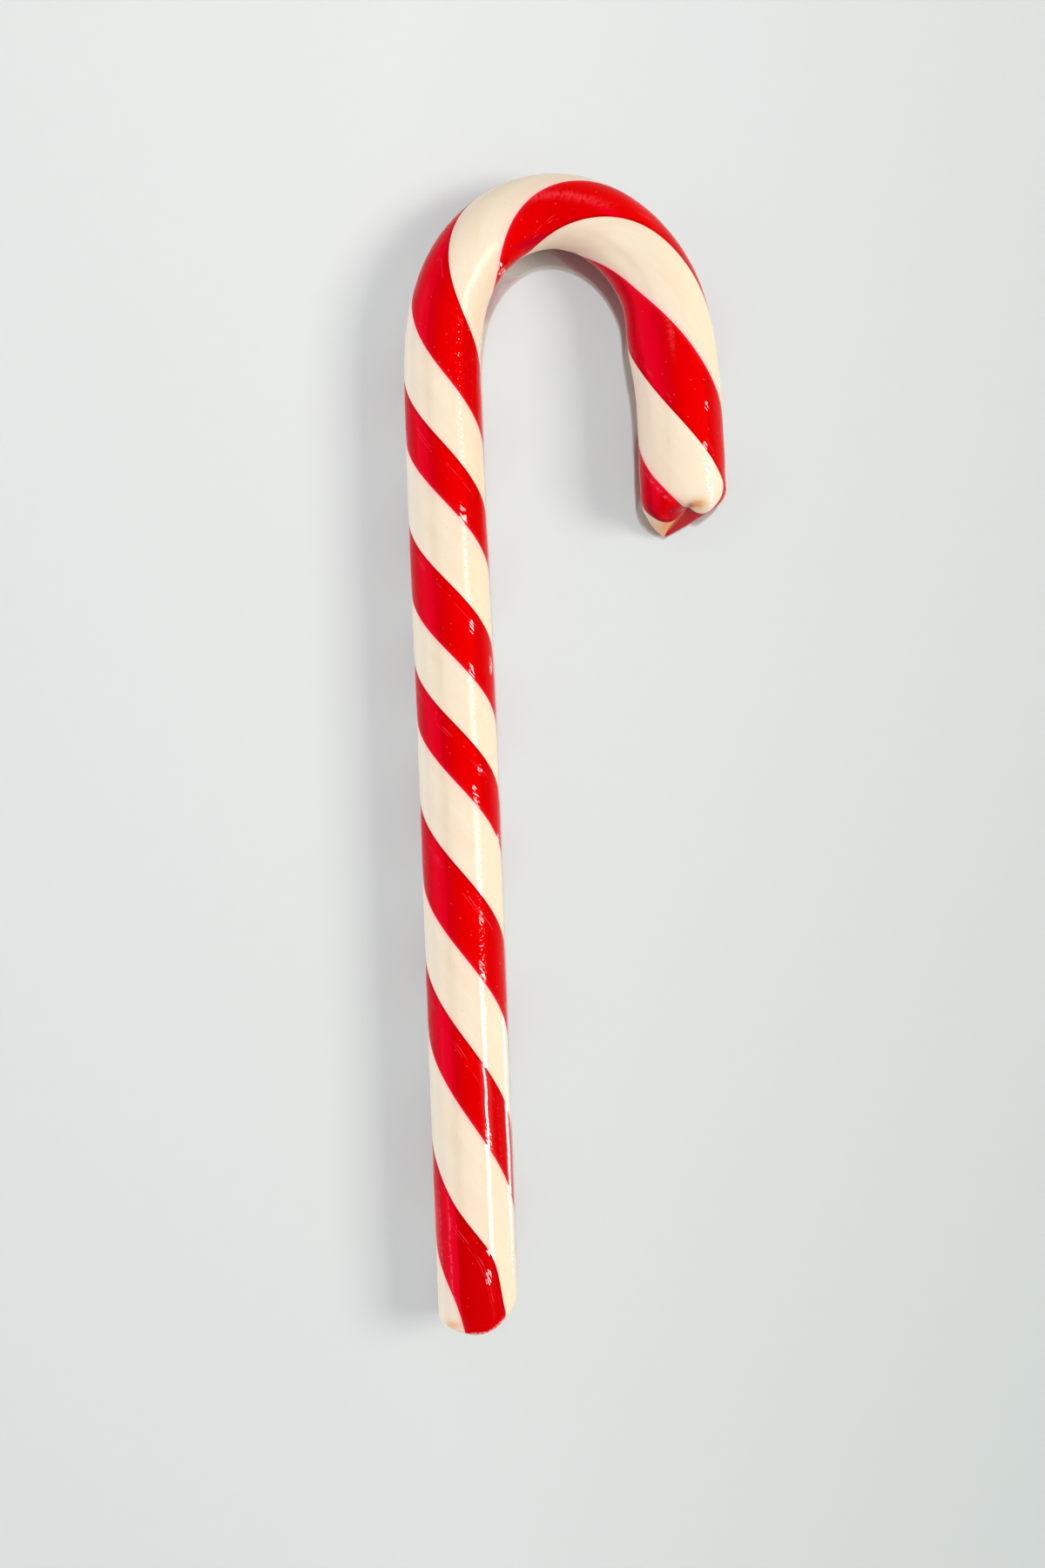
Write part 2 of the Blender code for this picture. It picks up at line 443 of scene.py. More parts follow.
class Wire:
    """An output of a shader node; sums on it add Math nodes."""

    def __init__(self, board: "Board", socket: bpy.types.NodeSocket | None) -> None:
        """Keep the socket and the board that it is on."""
        self.board = board
        self.socket = socket

    def maths(self, operation: str, *values: "Wire | float") -> "Wire":
        """Add one Math node.

        Args:
            operation: The node's operation.
            *values: What goes into it, in order.

        Returns:
            Its result.
        """
        return self.board.node("ShaderNodeMath", {"operation": operation}, dict(enumerate(values)))

    def __add__(self, other: "Wire | float") -> "Wire":
        """Add."""
        return self.maths("ADD", self, other)

    def __sub__(self, other: "Wire | float") -> "Wire":
        """Take away."""
        return self.maths("SUBTRACT", self, other)

    def __rsub__(self, other: float) -> "Wire":
        """Take away from a number."""
        return self.maths("SUBTRACT", other, self)

    def __mul__(self, other: "Wire | float") -> "Wire":
        """Multiply."""
        return self.maths("MULTIPLY", self, other)

    __radd__ = __add__
    __rmul__ = __mul__

    def __abs__(self) -> "Wire":
        """Leave out the sign."""
        return self.maths("ABSOLUTE", self)

    def at_most(self, other: "Wire | float") -> "Wire":
        """The smaller of the two."""
        return self.maths("MINIMUM", self, other)

    def at_least(self, other: "Wire | float") -> "Wire":
        """The larger of the two."""
        return self.maths("MAXIMUM", self, other)

    def fading(self, reach: float) -> "Wire":
        """1 at nothing, falling away over a reach."""
        return self.maths("EXPONENT", self * (-1.0 / reach))

    def around(self, middle: float, reach: float) -> "Wire":
        """1 at the middle, falling away over a reach to both sides."""
        off = self - middle
        return self.maths("EXPONENT", off * off * (-1.0 / reach ** 2))

    def rising(self, low: float, high: float) -> "Wire":
        """0 at low, easing up to 1 at high; the other way round where low is the larger."""
        sockets = {0: self, 1: low, 2: high}
        return self.board.node("ShaderNodeMapRange", {"interpolation_type": "SMOOTHSTEP"}, sockets)


class Board:
    """The nodes of one material."""

    MIX_A, MIX_B, MIX_RESULT = 6, 7, 2
    ATTRIBUTE_NUMBER = 2

    def __init__(self, name: str) -> None:
        """Start a material with an empty board.

        Args:
            name: The material's name.
        """
        self.material = bpy.data.materials.new(name)
        self.material.use_nodes = True
        self.tree = self.material.node_tree
        self.tree.nodes.clear()

    def node(self, kind: str, settings: dict, sockets: dict, out: int | str = 0) -> Wire:
        """Add a node.

        Args:
            kind: The node's type.
            settings: Its settings, which are set first.
            sockets: Numbers, colours or wires for its inputs, by place or name.
            out: Which output to hand back.

        Returns:
            That output, or an empty wire if the node has none.
        """
        made = self.tree.nodes.new(kind)
        for name, value in settings.items():
            setattr(made, name, value)
        for key, value in sockets.items():
            if isinstance(value, Wire):
                self.tree.links.new(value.socket, made.inputs[key])
            else:
                made.inputs[key].default_value = value
        return Wire(self, made.outputs[out] if len(made.outputs) else None)

    def mark(self, name: str) -> Wire:
        """Read one of the piece's own marks."""
        return self.node("ShaderNodeAttribute", {"attribute_name": name}, {}, self.ATTRIBUTE_NUMBER)

    def split(self, place: Wire) -> tuple[Wire, Wire]:
        """The first two numbers of a vector."""
        return tuple(self.node("ShaderNodeSeparateXYZ", {}, {0: place}, way) for way in range(2))

    def pair(self, name: str) -> tuple[Wire, Wire]:
        """Read the two numbers of one of the piece's own maps."""
        return self.split(self.node("ShaderNodeUVMap", {"uv_map": name}, {}))

    def join(self, x: Wire | float, y: Wire | float, z: Wire | float) -> Wire:
        """Make a vector of three numbers."""
        return self.node("ShaderNodeCombineXYZ", {}, {0: x, 1: y, 2: z})

    def noise(self, place: Wire, scale: float, detail: float = 2.0) -> Wire:
        """Soft noise, about 0.5 in the middle."""
        sockets = {"Vector": place, "Scale": scale, "Detail": detail}
        return self.node("ShaderNodeTexNoise", {}, sockets)

    def mix(self, share: Wire | float, first: Wire | Colour, second: Wire | Colour) -> Wire:
        """Go from the first colour to the second."""
        sockets = {0: share, self.MIX_A: first, self.MIX_B: second}
        return self.node("ShaderNodeMix", {"data_type": "RGBA"}, sockets, self.MIX_RESULT)

    def bump(self, height: Wire, depth: float, over: Wire | None = None) -> Wire:
        """Raise the surface.

        Args:
            height: How high it stands, 0 to 1.
            depth: What a height of 1 measures, in metres.
            over: A bumped surface to start from.

        Returns:
            The bumped surface.
        """
        sockets: dict = {"Height": height, "Distance": depth}
        if over is not None:
            sockets["Normal"] = over
        return self.node("ShaderNodeBump", {}, sockets)

    def finish(self, shader: Wire) -> bpy.types.Material:
        """Lead a shader to the output, and hand back the material."""
        self.node("ShaderNodeOutputMaterial", {}, {"Surface": shader})
        return self.material


# --- the sugars -----------------------------------------------------------------------------------


class SugarBoard(Board):
    """The nodes of one sugar: where each point of the cane lies, and a colour laid on in layers.

    x and y are mm round and along the rod.  x is counted with the strands, so a grain of one x is
    drawn out along its strand.  first and last are mm from the strand's two seams.  lean says how far
    the surface faces right, and mottle is soft blotches.
    """

    def __init__(self, name: str, ground: Colour) -> None:
        """Read the piece's maps and marks, and start from one colour.

        Args:
            name: The material's name.
            ground: The colour under all the layers.
        """
        super().__init__(name)
        self.x, self.y = self.pair("drawn")
        self.first, self.last = self.pair("edges")
        self.lean = self.mark("lean")
        self.mottle = self.grain(across=1.8, along=1.8, layer=3.0)
        self.colour: Wire | Colour = ground

    def lay(self, share: Wire, colour: Colour) -> None:
        """Lay a colour over what is there, as strongly as its share."""
        self.colour = self.mix(share, self.colour, colour)

    def grain(self, across: float, along: float, layer: float, slant: float = 0.0,
              detail: float = 2.0) -> Wire:
        """Make noise that is drawn out along the strands.

        Args:
            across: How many grains to a mm, roughly, round the rod.
            along: How many to a mm along it.
            layer: The layer of noise that it is cut from.
            slant: How many grains it shifts sideways in a mm along.
            detail: How rough the grains are.

        Returns:
            The noise, about 0.5 in the middle.
        """
        sideways = self.x * across - self.y * slant if slant else self.x * across
        return self.noise(self.join(sideways, self.y * along, layer), 1.0, detail)


@dataclass(frozen=True)
class Streak:
    """A streak along the rod.

    It lies at a middle and width of some measure across, and sets in, is full, starts to fade and
    ends at four distances in mm.
    """

    middle: float
    width: float
    start: float
    full: float
    fade: float
    end: float

    def on(self, across: Wire, along: Wire) -> Wire:
        """1 on the streak, falling away to both sides and easing off at both ends."""
        ends = along.rising(self.start, self.full), along.rising(self.end, self.fade)
        return across.around(self.middle, self.width) * ends[0] * ends[1]


@dataclass(frozen=True)
class Patch:
    """A soft-edged patch: its place in mm along, its lean to the right, and its reach in both."""

    along: float
    lean: float
    length: float
    width: float

    def on(self, board: SugarBoard) -> Wire:
        """1 in the middle of the patch, falling away all round."""
        return board.y.around(self.along, self.length) * board.lean.around(self.lean, self.width)


@dataclass(frozen=True)
class RedSugar:
    """Clear red sugar: deep, glossy, drawn threads, small bubbles, painted light, shade, sheens,
    broken glints.
    """

    # deep is the sugar's own red and is also laid as painted shade; bright is painted light
    deep: Colour = tint(207, 0, 2)
    bright: Colour = tint(232, 0, 0)
    # painted reflection tint; on the crook it is also laid as painted shade
    painted_crimson: Colour = tint(240, 0, 34)
    # painted shade laid on steep sides
    rim: Colour = tint(207, 0, 28)
    # colour of the pale seam fringe, also laid as a painted reflection on the far left edge
    fringe_and_rim_reflection: Colour = tint(240, 40, 58)
    seam_line: Colour = tint(176, 0, 6)
    # pink of the drawn threads, also laid as painted highlight lines
    thread_and_highlight: Colour = tint(244, 84, 104)
    bubble: Colour = tint(246, 96, 92)
    # scorch colour, also laid as painted shade on the steep end face
    burnt_and_shade: Colour = tint(150, 6, 20)
    smear: Colour = tint(226, 128, 92)
    # painted sheen colour
    sheen_pink: Colour = tint(246, 62, 70)
    # painted glint colour
    glint: Colour = tint(255, 244, 242)
    chipped: Colour = tint(246, 162, 152)
    gloss: Colour = (1.0, 0.0, 0.03, 1.0)
    hook: tuple[float, float] = (194.0, 200.0)
    # These streaks and patches place painted sheens, a painted shade band, painted highlight lines
    # and painted glints; only the smooth line places real gloss, through the coat.
    arch_sheen: Streak = Streak(0.22, 0.11, 175.0, 181.0, 187.0, 193.0)
    leg_sheen: Patch = Patch(212.5, -0.11, 3.0, 0.06)
    arch_shade: Streak = Streak(0.10, 0.08, 187.0, 191.0, 196.0, 204.0)
    rim_line: Streak = Streak(0.915, 0.025, 12.0, 20.0, 42.0, 47.0)
    faint_highlight_line: Streak = Streak(0.72, 0.03, 22.0, 26.0, 40.0, 44.0)
    flap_highlight_line: Streak = Streak(0.9, 0.22, 233.0, 235.0, 238.5, 240.0)
    smooth_line: Streak = Streak(0.43, 0.09, 22.5, 23.5, 42.0, 43.5)
    chains: tuple[Patch, Patch] = (Patch(151.0, 0.45, 7.0, 0.045), Patch(60.0, 0.45, 6.0, 0.045))
    glints: tuple[Patch, ...] = (
        Patch(9.6, 0.33, 1.4, 0.08), Patch(13.6, 0.37, 0.8, 0.06), Patch(64.3, 0.46, 1.2, 0.06),
        Patch(87.0, 0.56, 0.9, 0.06), Patch(108.7, 0.51, 1.3, 0.06), Patch(125.3, 0.36, 0.9, 0.06),
        Patch(75.5, 0.93, 2.0, 0.04), Patch(103.0, 0.93, 1.6, 0.04), Patch(168.6, 0.68, 1.2, 0.14),
        Patch(224.2, 0.56, 0.8, 0.05), Patch(230.3, 0.46, 0.9, 0.06),
    )

    def body(self, board: SugarBoard) -> None:
        """Colour the clear sugar with painted light and shade, and a painted reflection on the left.

        Args:
            board: The sugar's board.
        """
        lean, y = board.lean, board.y
        tones = board.grain(across=0.5, along=0.03, layer=0.0)
        # painted light: lighter towards the right-facing side, varied by random tone
        lit = lean.rising(-0.45, 0.20) + (tones - 0.5) * 0.7
        board.lay(lit.at_least(0.0).at_most(1.0), self.bright)
        # painted reflection: a purple-red tint on the left-facing side
        board.lay(lean.rising(-0.05, -0.40) * 0.35, self.painted_crimson)
        # painted reflection: a sharp-edged purple-red band down the left side, softer on the crook
        near_tip = 0.8 + y.rising(60.0, 40.0) * 0.2
        stem_reflection = lean.rising(-0.36, -0.42) * y.rising(*reversed(self.hook)) * near_tip
        hook_reflection = lean.rising(-0.22, -0.62) * y.rising(*self.hook)
        board.lay(stem_reflection.at_least(hook_reflection), self.painted_crimson)
        # darker towards the tip, right of the painted band on the left side
        board.lay(y.rising(50.0, 8.0) * lean.rising(-0.44, -0.40), self.deep)
        # painted shade on the right-facing side
        board.lay(lean.rising(0.50, 0.62) * 0.8, self.deep)
        # painted shade on steep sides that do not face right
        board.lay(board.mark("up").rising(0.72, 0.55) * lean.rising(0.55, 0.35), self.rim)

    def seams(self, board: SugarBoard) -> None:
        """Add the pale fringe, dark line and drawn threads beside the seams, and a painted pale
        reflection.

        Args:
            board: The sugar's board.
        """
        # painted reflection: a pale band along the far left edge near the tip
        board.lay(board.lean.rising(-0.80, -0.95) * board.y.rising(26.0, 18.0) * 0.7, self.fringe_and_rim_reflection)
        board.lay(board.first.fading(0.30) * 0.9, self.fringe_and_rim_reflection)
        wander = board.noise(board.join(3.1, board.y * 0.12, 0.0), 1.0) * 1.2
        inward = board.last - wander
        wide = abs(inward - 1.3).rising(0.11, 0.02)
        narrow = abs(inward - 1.75).rising(0.08, 0.02) * 0.7
        broken = board.grain(across=0.6, along=0.35, layer=4.0).rising(0.50, 0.62)
        board.lay(wide.at_least(narrow) * broken * 0.5, self.thread_and_highlight)
        board.lay(board.last.rising(0.50, 0.12) * 0.8, self.seam_line)

    def bubbles(self, board: SugarBoard, line_breaks: Wire) -> None:
        """Add the small bubbles, and two broken lines of painted highlight down the left side near
        the tip.

        Args:
            board: The sugar's board.
            line_breaks: Where lines are broken.
        """
        spots = board.grain(across=2.3, along=2.3, layer=9.0, detail=0.0).rising(0.81, 0.84)
        board.lay(spots * 0.7, self.bubble)
        # painted highlight: two thin broken lines down the left side near the tip
        lines = board.lean.around(-0.61, 0.018).at_least(board.lean.around(-0.85, 0.015) * 0.7)
        board.lay(lines * line_breaks * board.y.rising(23.0, 19.0) * 0.8, self.thread_and_highlight)

    def sheens(self, board: SugarBoard) -> None:
        """Add the painted streaked sheens on the crook, and a painted band of shade.

        Args:
            board: The sugar's board.
        """
        back = board.mark("back")
        streaks = board.grain(across=0.9, along=2.2, layer=8.0).rising(0.30, 0.62)
        # painted sheens on the crook, streaked across the rod
        sheen = self.arch_sheen.on(back, board.y).at_least(self.leg_sheen.on(board)) * streaks
        board.lay(sheen * 0.7, self.sheen_pink)
        # painted shade: a purple-red band on the crook
        board.lay(self.arch_shade.on(back, board.y) * 0.8, self.painted_crimson)

    def cut_end(self, board: SugarBoard) -> None:
        """Smear and burn the sheared end of the crook, and darken its steep end face as painted
        shade.

        Args:
            board: The sugar's board.
        """
        far_seam = board.last.rising(1.1, 0.2) * board.x.rising(24.0, 22.0)
        dragged = (board.first.rising(1.2, 0.1) + far_seam) * board.y.rising(243.2, 244.8)
        board.lay((dragged * (0.3 + board.mottle)).rising(0.15, 0.60) * 0.8, self.smear)
        # painted shade: the steep end face of the crook is darkened
        face = board.y.rising(237.5, 240.0) * board.mark("up").rising(0.75, 0.45) * 0.6
        board.lay((board.mark("scorched") * (0.4 + board.mottle)).at_least(face), self.burnt_and_shade)

    def painted_glints(self, board: SugarBoard, line_breaks: Wire) -> None:
        """Add the painted glints and painted highlight lines.

        Args:
            board: The sugar's board.
            line_breaks: Where lines are broken.
        """
        lean, y, first = board.lean, board.y, board.first
        strokes = board.grain(across=5.0, along=1.0, layer=5.0, detail=0.0).rising(0.54, 0.57)
        dots = board.grain(across=4.2, along=3.4, layer=1.0, slant=1.6, detail=0.0)
        dots = dots.rising(0.66, 0.69)
        low_edge = first.rising(2.6, 1.9) * first.rising(0.05, 0.20)
        low_edge = low_edge * board.mark("up").rising(0.70, 0.80)
        zones = low_edge * lean.around(0.42, 0.08) * y.rising(140.0, 136.0)
        for spot in self.glints:
            zones = zones + spot.on(board)
        gaps = board.noise(board.join(2.0, y * 0.9, 0.0), 1.0, 0.0).rising(0.50, 0.56)
        upper, lower = self.chains
        chain = (upper.on(board) * gaps + lower.on(board)).at_most(1.0)
        rim_line = (self.rim_line.on(lean, y) * (1.2 + line_breaks)).at_most(1.0)
        # painted highlights: glints, dotted chains and a bright line at the right edge
        flecks = (strokes * zones.rising(0.35, 0.55)).at_least(dots * chain).at_least(rim_line)
        board.lay(flecks * 0.95, self.glint)
        # painted highlight: a faint dotted line towards the right edge
        board.lay(dots * self.faint_highlight_line.on(lean, y) * 0.45, self.thread_and_highlight)
        # painted highlight: a broken bar on the flap
        board.lay(self.flap_highlight_line.on(first, y) * line_breaks * 0.8, self.thread_and_highlight)

    def chips(self, board: SugarBoard) -> None:
        """Add the pale chipped rim round the top of the broken tip.

        Args:
            board: The sugar's board.
        """
        verge = board.y - board.lean * board.lean * board.lean * 3.0
        edge = verge.rising(1.50, 1.20) * verge.rising(0.2, 0.5) * board.mark("up").rising(0.1, 0.3)
        board.lay(edge * board.mottle.rising(0.38, 0.52) * 0.8, self.chipped)

    def material(self) -> bpy.types.Material:
        """Make the material.

        Returns:
            Red sugar, for the red strands.
        """
        board = SugarBoard("red_sugar", self.deep)
        line_breaks = board.grain(across=2.0, along=1.6, layer=6.0, slant=1.7).rising(0.42, 0.56)
        self.body(board)
        self.seams(board)
        self.bubbles(board, line_breaks)
        self.sheens(board)
        self.cut_end(board)
        self.painted_glints(board, line_breaks)
        self.chips(board)
        smooth_run = board.y.rising(21.5, 22.5) * board.y.rising(45.0, 43.5)
        dull = board.lean.rising(-0.1, 0.1) * board.lean.rising(0.64, 0.54) * (1.0 - smooth_run)
        return board.finish(board.node("ShaderNodeBsdfPrincipled", {}, {
            "Base Color": board.colour,
            "Roughness": 0.12 + dull * 0.18,
            "IOR": 1.45,
            "Specular IOR Level": 0.1,
            "Specular Tint": self.gloss,
            "Subsurface Weight": 0.25,
            "Subsurface Radius": (1.0, 0.2, 0.15),
            "Subsurface Scale": 1.2 * MM,
            "Coat Weight": (self.smooth_line.on(board.lean, board.y) * 2.0).at_most(1.0),
            "Coat Roughness": 0.05,
            "Coat IOR": 1.5,
            "Normal": board.bump(board.grain(across=3.0, along=0.55, layer=0.0), 0.004 * MM),
        }))


@dataclass(frozen=True)
class CreamSugar:
    """Pulled cream sugar: satin, full of fine threads, blushed by the red, painted with light and
    sheens.
    """

    plain: Colour = tint(249, 228, 202)
    pale: Colour = tint(252, 234, 212)
    warm: Colour = tint(247, 222, 194)
    blush: Colour = tint(255, 190, 190)
    peach: Colour = tint(254, 198, 180)
    amber: Colour = tint(228, 156, 86)
    scorched: Colour = tint(150, 62, 34)
    # painted light tints for the left-facing and the right-facing sides
    painted_cool_light: Colour = tint(249, 233, 216)
    painted_warm_light: Colour = tint(249, 225, 190)
    # painted highlight colour
    glisten: Colour = tint(255, 255, 250)
    speck: Colour = tint(196, 160, 130)
    # places of the painted sheens and the painted line at the right edge
    hook_sheen: Streak = Streak(0.56, 0.10, 226.0, 233.0, 239.0, 243.0)
    stem_sheen: Streak = Streak(0.455, 0.055, 44.0, 52.0, 160.0, 170.0)
    rim_line: Streak = Streak(0.915, 0.025, 4.0, 14.0, 42.0, 60.0)
    polish: float = 0.10
    dulling: tuple[tuple[float, float, float], ...] = (
        (45.0, 90.0, 0.12), (160.0, 170.0, 0.12), (226.0, 232.0, 0.30),
    )
    left_satin: float = 0.34

    def body(self, board: SugarBoard, threads: Wire) -> None:
        """Colour the pulled sugar: painted light, cooler left and warmer right, and blushed beside
        the red.

        Args:
            board: The sugar's board.
            threads: The fine threads of the pulled sugar.
        """
        board.lay(board.grain(across=0.35, along=0.08, layer=0.0).rising(0.30, 0.70), self.plain)
        # painted light: cooler where the surface faces left, warmer where it faces right
        board.lay(board.lean.rising(-0.45, -0.90) * 0.7, self.painted_cool_light)
        board.lay(board.lean.rising(0.10, 0.60) * 0.6, self.painted_warm_light)
        board.lay(threads.rising(0.45, 0.80) * 0.4, self.pale)
        board.lay(board.last.fading(0.50) * 0.75, self.blush)
        board.lay(board.first.fading(0.22) * 0.7, self.peach)
        specks = board.grain(across=3.1, along=3.1, layer=1.0, detail=0.0).rising(0.86, 0.88)
        board.lay(specks * 0.6, self.speck)

    def browning(self, board: SugarBoard) -> None:
        """Brown and scorch the ends."""
        board.lay((board.mark("browned") * (0.6 + board.mottle * 0.8)).at_most(1.0), self.amber)
        board.lay(board.mark("scorched") * (0.4 + board.mottle), self.scorched)

    def sheens(self, board: SugarBoard) -> None:
        """Add painted frayed sheens on the stem and the crook, and a painted bright line at the right
        edge.

        Args:
            board: The sugar's board.
        """
        lean, y = board.lean, board.y
        speckles = board.grain(across=1.7, along=2.2, layer=4.0, slant=0.9).rising(0.44, 0.60)
        # painted sheens and a painted bright line, frayed by speckles
        sheen = self.hook_sheen.on(lean, y).at_least(self.stem_sheen.on(lean, y) * 0.6) * speckles
        solid = y.rising(12.0, 22.0) * 1.4 + speckles * 1.2
        board.lay(sheen.at_least((self.rim_line.on(lean, y) * solid).at_most(1.0)), self.glisten)

    def roughness(self, board: SugarBoard) -> Wire:
        """Say how dull the sugar is: glossy near the tip, satin on the left side and on the crook.

        Args:
            board: The sugar's board.

        Returns:
            The roughness.
        """
        rough: Wire | float = self.polish
        for start, end, more in self.dulling:
            rough = rough + board.y.rising(start, end) * more
        return rough.at_least(board.lean.rising(-0.1, -0.35) * self.left_satin)

    def material(self) -> bpy.types.Material:
        """Make the material.

        Returns:
            Cream sugar, for the cream strands.
        """
        board = SugarBoard("cream_sugar", self.warm)
        threads = board.grain(across=3.5, along=0.12, layer=7.0)
        self.body(board, threads)
        self.browning(board)
        self.sheens(board)
        fibres = board.grain(across=4.0, along=0.5, layer=2.0, detail=3.0)
        ripples = board.grain(across=0.8, along=3.6, layer=6.0)
        return board.finish(board.node("ShaderNodeBsdfPrincipled", {}, {
            "Base Color": board.colour,
            "Roughness": self.roughness(board) + threads * 0.03,
            "IOR": 1.5,
            "Subsurface Weight": 0.35,
            "Subsurface Radius": (1.0, 0.5, 0.3),
            "Subsurface Scale": 1.5 * MM,
            "Normal": board.bump(ripples, 0.012 * MM, board.bump(fibres, 0.006 * MM)),
        }))


# --- the cane -------------------------------------------------------------------------------------


@dataclass
class CandyCane:
    """The whole cane: one closed skin over the twisted rod, from pinch to pinch."""

    rod: Rod = field(default_factory=Rod)
    rings_along: int = 622
    rings_end: int = 36
    weld: float = 0.002
    strips: int = 3
    strip_margin: float = 0.006
    cut_stains: tuple[Stain, ...] = (
        Stain((-1.8, 3.5, 0.30), (1.35, 1.7, 0.85), 1.0),
        Stain((1.9, -3.6, 2.7), (2.4, 4.0, 3.0), 1.0),
    )
    scorch: Stain = Stain((-0.8, 2.9, 0.35), (0.55, 1.2, 0.45), 1.0)
    tip_stains: tuple[Stain, ...] = (
        Stain((-3.7, 4.0, -2.3), (1.2, 3.0, 0.6), 0.8),
    )

    def __post_init__(self) -> None:
        """Shape both ends."""
        self.tip = RodEnd(
            self.rod, 0.0, -1.0,
            reach=((0, -0.5), (20, -0.6), (45, -1.1), (90, -2.2), (135, -2.0), (180, -1.4),
                   (225, -1.4), (270, -1.5), (315, -1.2), (340, -0.7)),
            rounding=((0, 0.9), (20, 1.3), (45, 2.6), (90, 3.8), (135, 3.0), (180, 2.0),
                      (225, 1.6), (270, 1.6), (315, 1.2), (340, 0.9)),
            swell=((0, 0.2), (90, 0.3), (180, 0.3), (270, 0.3)),
            pinch=(-0.8, -1.0, -1.6),
            crease_depth=0.08,
        )
        self.cut = RodEnd(
            self.rod, self.rod.length, 1.0,
            reach=((0, 0.0), (45, 0.7), (90, 1.5), (127, 2.2), (153, 3.4), (175, 4.4), (184, 4.6),
                   (191, 4.1), (203, 3.0), (212, 2.1), (223, 1.3), (234, 0.8), (243, 0.4),
                   (270, -0.3), (315, -0.4)),
            rounding=((0, 4.2), (45, 3.6), (90, 2.6), (127, 1.6), (160, 1.0), (200, 0.8),
                      (225, 0.9), (245, 1.4), (270, 2.8), (315, 3.8)),
            swell=((0, 0.5), (45, 1.0), (88, 1.7), (112, 0.8), (150, 0.3), (180, 0.0), (220, 0.0),
                   (250, 0.6), (270, 1.3), (315, 1.2)),
            pinch=(-0.6, -0.6, -0.1),
        )
        self.columns = [
            Column(place, k / strand.columns)
            for place, strand in enumerate(self.rod.strands) for k in range(strand.columns)
        ]
        self.first_columns = np.cumsum([0] + [strand.columns for strand in self.rod.strands])

    def skin(self) -> Skin:
        """Work out the whole surface.

        Returns:
            The surface, with its browned and scorched marks.
        """
        rows = []
        last = len(self.rod.strands) - 1
        for column in self.columns + [Column(last, 1.0)]:
            low, tip_points = self.tip.round_over(column, self.rings_end)
            high, cut_points = self.cut.round_over(column, self.rings_end)
            along = np.linspace(low, high, self.rings_along)
            points = np.concatenate([tip_points[::-1], self.rod.points(along, column), cut_points])
            lengths = np.linalg.norm(np.diff(points, axis=0), axis=1)
            run = np.concatenate([[0.0], np.cumsum(lengths)])
            distance = np.concatenate([
                low - (run[self.rings_end] - run[:self.rings_end]),
                along,
                high + (run[-self.rings_end:] - run[-self.rings_end - 1]),
            ])
            rows.append((points, distance, np.full_like(distance, self.rod.drawn_degrees(column))))
        skin = Skin(*(np.array(part) for part in zip(*rows)))
        browned = sum(stain.at(self.cut, skin.points) for stain in self.cut_stains)
        browned = browned + sum(stain.at(self.tip, skin.points) for stain in self.tip_stains)
        skin.marks["browned"] = np.clip(browned, 0.0, 1.0)
        skin.marks["scorched"] = self.scorch.at(self.cut, skin.points)
        return skin

    def wrap(self, skin: Skin) -> bmesh.types.BMesh:
        """Wrap a sheet of faces round the rod and close it.

        Args:
            skin: The surface to follow.

        Returns:
            The closed mesh, with its marks, maps and materials.
        """
        across, rings = skin.points.shape[0] - 1, skin.points.shape[1] - 1
        mesh = bmesh.new()
        bmesh.ops.create_grid(mesh, x_segments=across, y_segments=rings, size=1.0)
        grid = [
            (round((vert.co.x + 1.0) * 0.5 * across), round((vert.co.y + 1.0) * 0.5 * rings))
            for vert in mesh.verts
        ]
        self.lay_maps(mesh, grid, skin)
        layers = {name: mesh.verts.layers.float.new(name) for name in skin.marks}
        for vert, (i, j) in zip(mesh.verts, grid):
            vert.co = skin.points[i, j] * MM
            for name, layer in layers.items():
                vert[layer] = float(skin.marks[name][i, j])
        bmesh.ops.remove_doubles(mesh, verts=mesh.verts, dist=self.weld * MM)
        bmesh.ops.recalc_face_normals(mesh, faces=mesh.faces)
        mesh.normal_update()
        facing = [mesh.verts.layers.float.new(name) for name in ("lean", "back", "up")]
        for vert in mesh.verts:
            for layer, share in zip(facing, vert.normal):
                vert[layer] = share
        return mesh

    def lay_maps(self, mesh: bmesh.types.BMesh, grid: list[tuple[int, int]], skin: Skin) -> None:
        """Give each face its sugar, and its places on the maps of the surface.

        Args:
            mesh: The flat sheet.
            grid: The column and ring of each corner.
            skin: The surface that it will follow.
        """
        across, rings = skin.points.shape[0] - 1, skin.points.shape[1] - 1
        steps = skin.steps()
        round_mm = np.radians(skin.degrees) * self.rod.radius[0][1]
        drawn = mesh.loops.layers.uv.new("drawn")
        edges = mesh.loops.layers.uv.new("edges")
        baked = mesh.loops.layers.uv.new("OFBake")
        ring_share = rings / self.strips
        room = 1.0 - 2.0 * self.strip_margin
        mesh.verts.index_update()
        for face in mesh.faces:
            places = [grid[loop.vert.index] for loop in face.loops]
            column = min(i for i, _ in places)
            strip = int(min(j for _, j in places) / ring_share)
            strand = int(np.searchsorted(self.first_columns, column, side="right")) - 1
            before, after = self.first_columns[strand], self.first_columns[strand + 1]
            face.material_index = self.rod.strands[strand].sugar.value
            face.smooth = True
            for loop, (i, j) in zip(face.loops, places):
                loop[drawn].uv = round_mm[i, j], skin.along[i, j]
                loop[edges].uv = steps[i, j] - steps[before, j], steps[after, j] - steps[i, j]
                aside = (self.strip_margin + room * i / across + strip) / self.strips
                loop[baked].uv = aside, self.strip_margin + room * (j / ring_share - strip)

